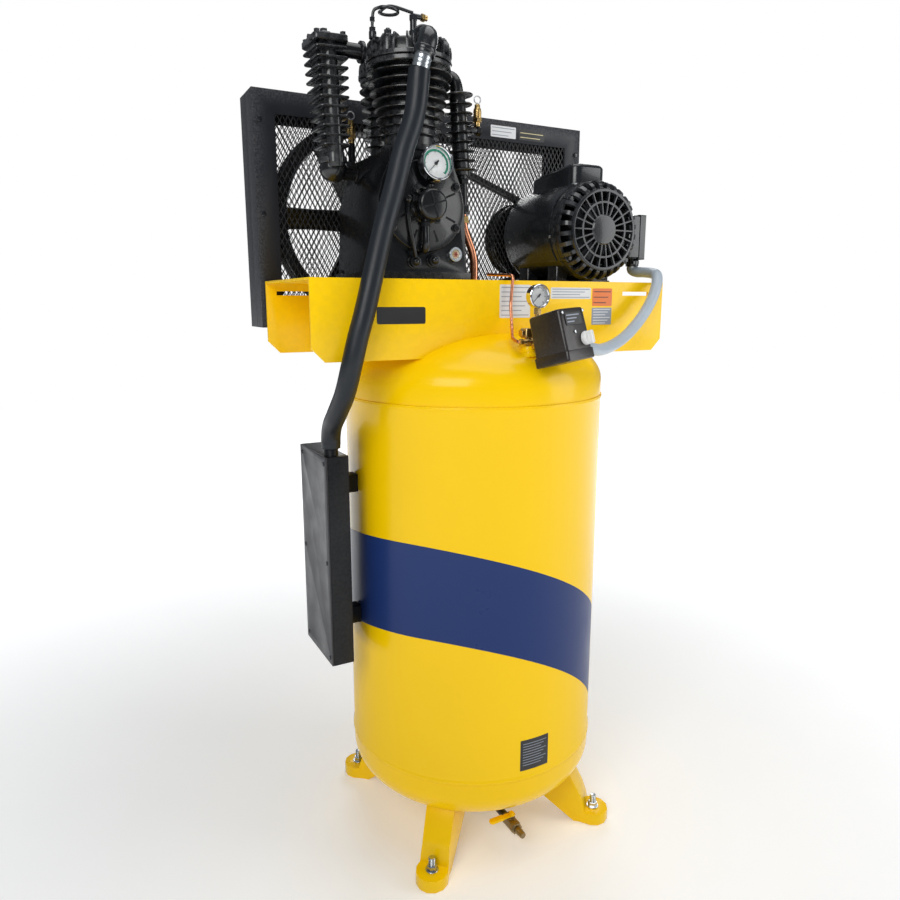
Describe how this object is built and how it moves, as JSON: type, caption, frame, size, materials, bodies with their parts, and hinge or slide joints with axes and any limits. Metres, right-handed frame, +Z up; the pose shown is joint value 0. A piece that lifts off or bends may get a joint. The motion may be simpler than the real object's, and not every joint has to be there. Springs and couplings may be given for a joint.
{
  "type": "vertical tank air compressor",
  "caption": "Upright air compressor: a two-stage belt-driven pump and electric motor on a platform over a vertical receiver tank on legs, with a belt guard and intake silencer.",
  "frame": {"origin": "centre of the overall footprint, at floor level under the feet", "axes": "+Z up the tank, -Y towards the pressure switch side, +X from the pump towards the motor"},
  "size_m": [0.9068, 0.6996, 1.8974],
  "materials": {
    "yellow_paint": "gloss",
    "black_paint": "satin",
    "charcoal_paint": "satin",
    "cast_black": "satin black paint",
    "steel": "machined",
    "chrome_bezel": "polished",
    "zinc": "zinc plated",
    "brass": "plain",
    "copper": "plain copper",
    "rubber": "matte",
    "grey_plastic": "matte",
    "sight_glass": "clear",
    "white_plastic": "gloss"
  },
  "bodies": {
    "frame": {"tank_shell": "yellow_paint", "top_head": "yellow_paint", "bottom_head": "yellow_paint", "leg_1": "yellow_paint", "leg_2": "yellow_paint", "leg_3": "yellow_paint", "leg_4": "yellow_paint", "platform": "yellow_paint", "foot_bolt_1": "zinc", "foot_bolt_2": "zinc", "foot_bolt_3": "zinc", "foot_bolt_4": "zinc", "drain_valve": "brass", "interstage_valve": "brass", "discharge_valve": "brass", "switch_manifold": "brass", "guard_front_frame": "charcoal_paint", "guard_back_frame": "charcoal_paint", "guard_mesh_front": "charcoal_paint", "guard_mesh_back": "charcoal_paint", "silencer_lid": "charcoal_paint", "crankcase": "cast_black", "front_cover": "cast_black", "low_stage_cylinder": "cast_black", "high_stage_cylinder": "cast_black", "low_stage_head": "cast_black", "high_stage_head": "cast_black", "intercooler": "cast_black", "aftercooler": "cast_black", "oil_pump": "cast_black", "intake_elbow": "cast_black", "oil_gauge": "chrome_bezel", "tank_gauge": "chrome_bezel", "sight_glass": "sight_glass", "unloader_tube": "black_paint", "silencer_box": "black_paint", "pressure_switch": "black_paint", "motor_housing": "black_paint", "motor_fan_cover": "black_paint", "capacitor_cover": "black_paint", "junction_box": "black_paint", "intake_hose": "rubber", "drive_belt": "rubber", "discharge_pipe": "copper", "unloader_pipe": "copper", "conduit": "grey_plastic"},
    "flywheel_set": {"crankshaft": "steel", "flywheel": "cast_black"},
    "motor_rotor_set": {"motor_rotor": "steel", "motor_pulley": "cast_black"},
    "drain_lever": {"drain_handle": "yellow_paint"},
    "knob": {"switch_knob": "white_plastic"},
    "oil_needle": {"oil_gauge_needle": "black_paint"},
    "tank_needle": {"tank_gauge_needle": "black_paint"},
    "interstage_pull": {"interstage_ring": "steel"},
    "discharge_pull": {"discharge_ring": "steel"},
    "low_piston_set": {"low_stage_piston": "steel"},
    "high_piston_set": {"high_stage_piston": "steel"}
  },
  "joints": [
    {"name": "flywheel_spin", "type": "hinge", "parent": "frame", "child": "flywheel_set", "pos_m": [-0.17836, 0.26735, 1.5], "axis": [0, 1, 0], "continuous": true},
    {"name": "motor_spin", "type": "hinge", "parent": "frame", "child": "motor_rotor_set", "pos_m": [0.28064, 0.26735, 1.472], "axis": [0, 1, 0], "continuous": true},
    {"name": "drain_valve_turn", "type": "hinge", "parent": "frame", "child": "drain_lever", "pos_m": [0.00364, -0.16365, 0.0693], "axis": [0, 0, 1], "range_deg": [0, 90]},
    {"name": "switch_knob_turn", "type": "hinge", "parent": "frame", "child": "knob", "pos_m": [0.05241, -0.32201, 1.23554], "axis": [-0.2401, 0.9388, -0.247], "range_deg": [0, 90]},
    {"name": "oil_gauge_sweep", "type": "hinge", "parent": "frame", "child": "oil_needle", "pos_m": [-0.16636, -0.101, 1.58016], "axis": [0, 0.9903, -0.1392], "range_deg": [0, 270]},
    {"name": "tank_gauge_sweep", "type": "hinge", "parent": "frame", "child": "tank_needle", "pos_m": [0.02264, -0.19985, 1.3176], "axis": [0, 1, 0], "range_deg": [0, 270]},
    {"name": "low_piston_stroke", "type": "slide", "parent": "frame", "child": "low_piston_set", "axis": [0, 0, 1], "range_m": [-0.064, 0]},
    {"name": "high_piston_stroke", "type": "slide", "parent": "frame", "child": "high_piston_set", "axis": [0, 0, 1], "range_m": [0, 0.064]},
    {"name": "interstage_valve_pull", "type": "slide", "parent": "frame", "child": "interstage_pull", "axis": [0, 0, 1], "range_m": [0, 0.004], "stiffness_N_per_m": 200},
    {"name": "discharge_valve_pull", "type": "slide", "parent": "frame", "child": "discharge_pull", "axis": [0, 0, 1], "range_m": [0, 0.004], "stiffness_N_per_m": 200}
  ],
  "couplings": [
    {"joint": "motor_spin", "follows": "flywheel_spin", "ratio": 2.3728}
  ]
}
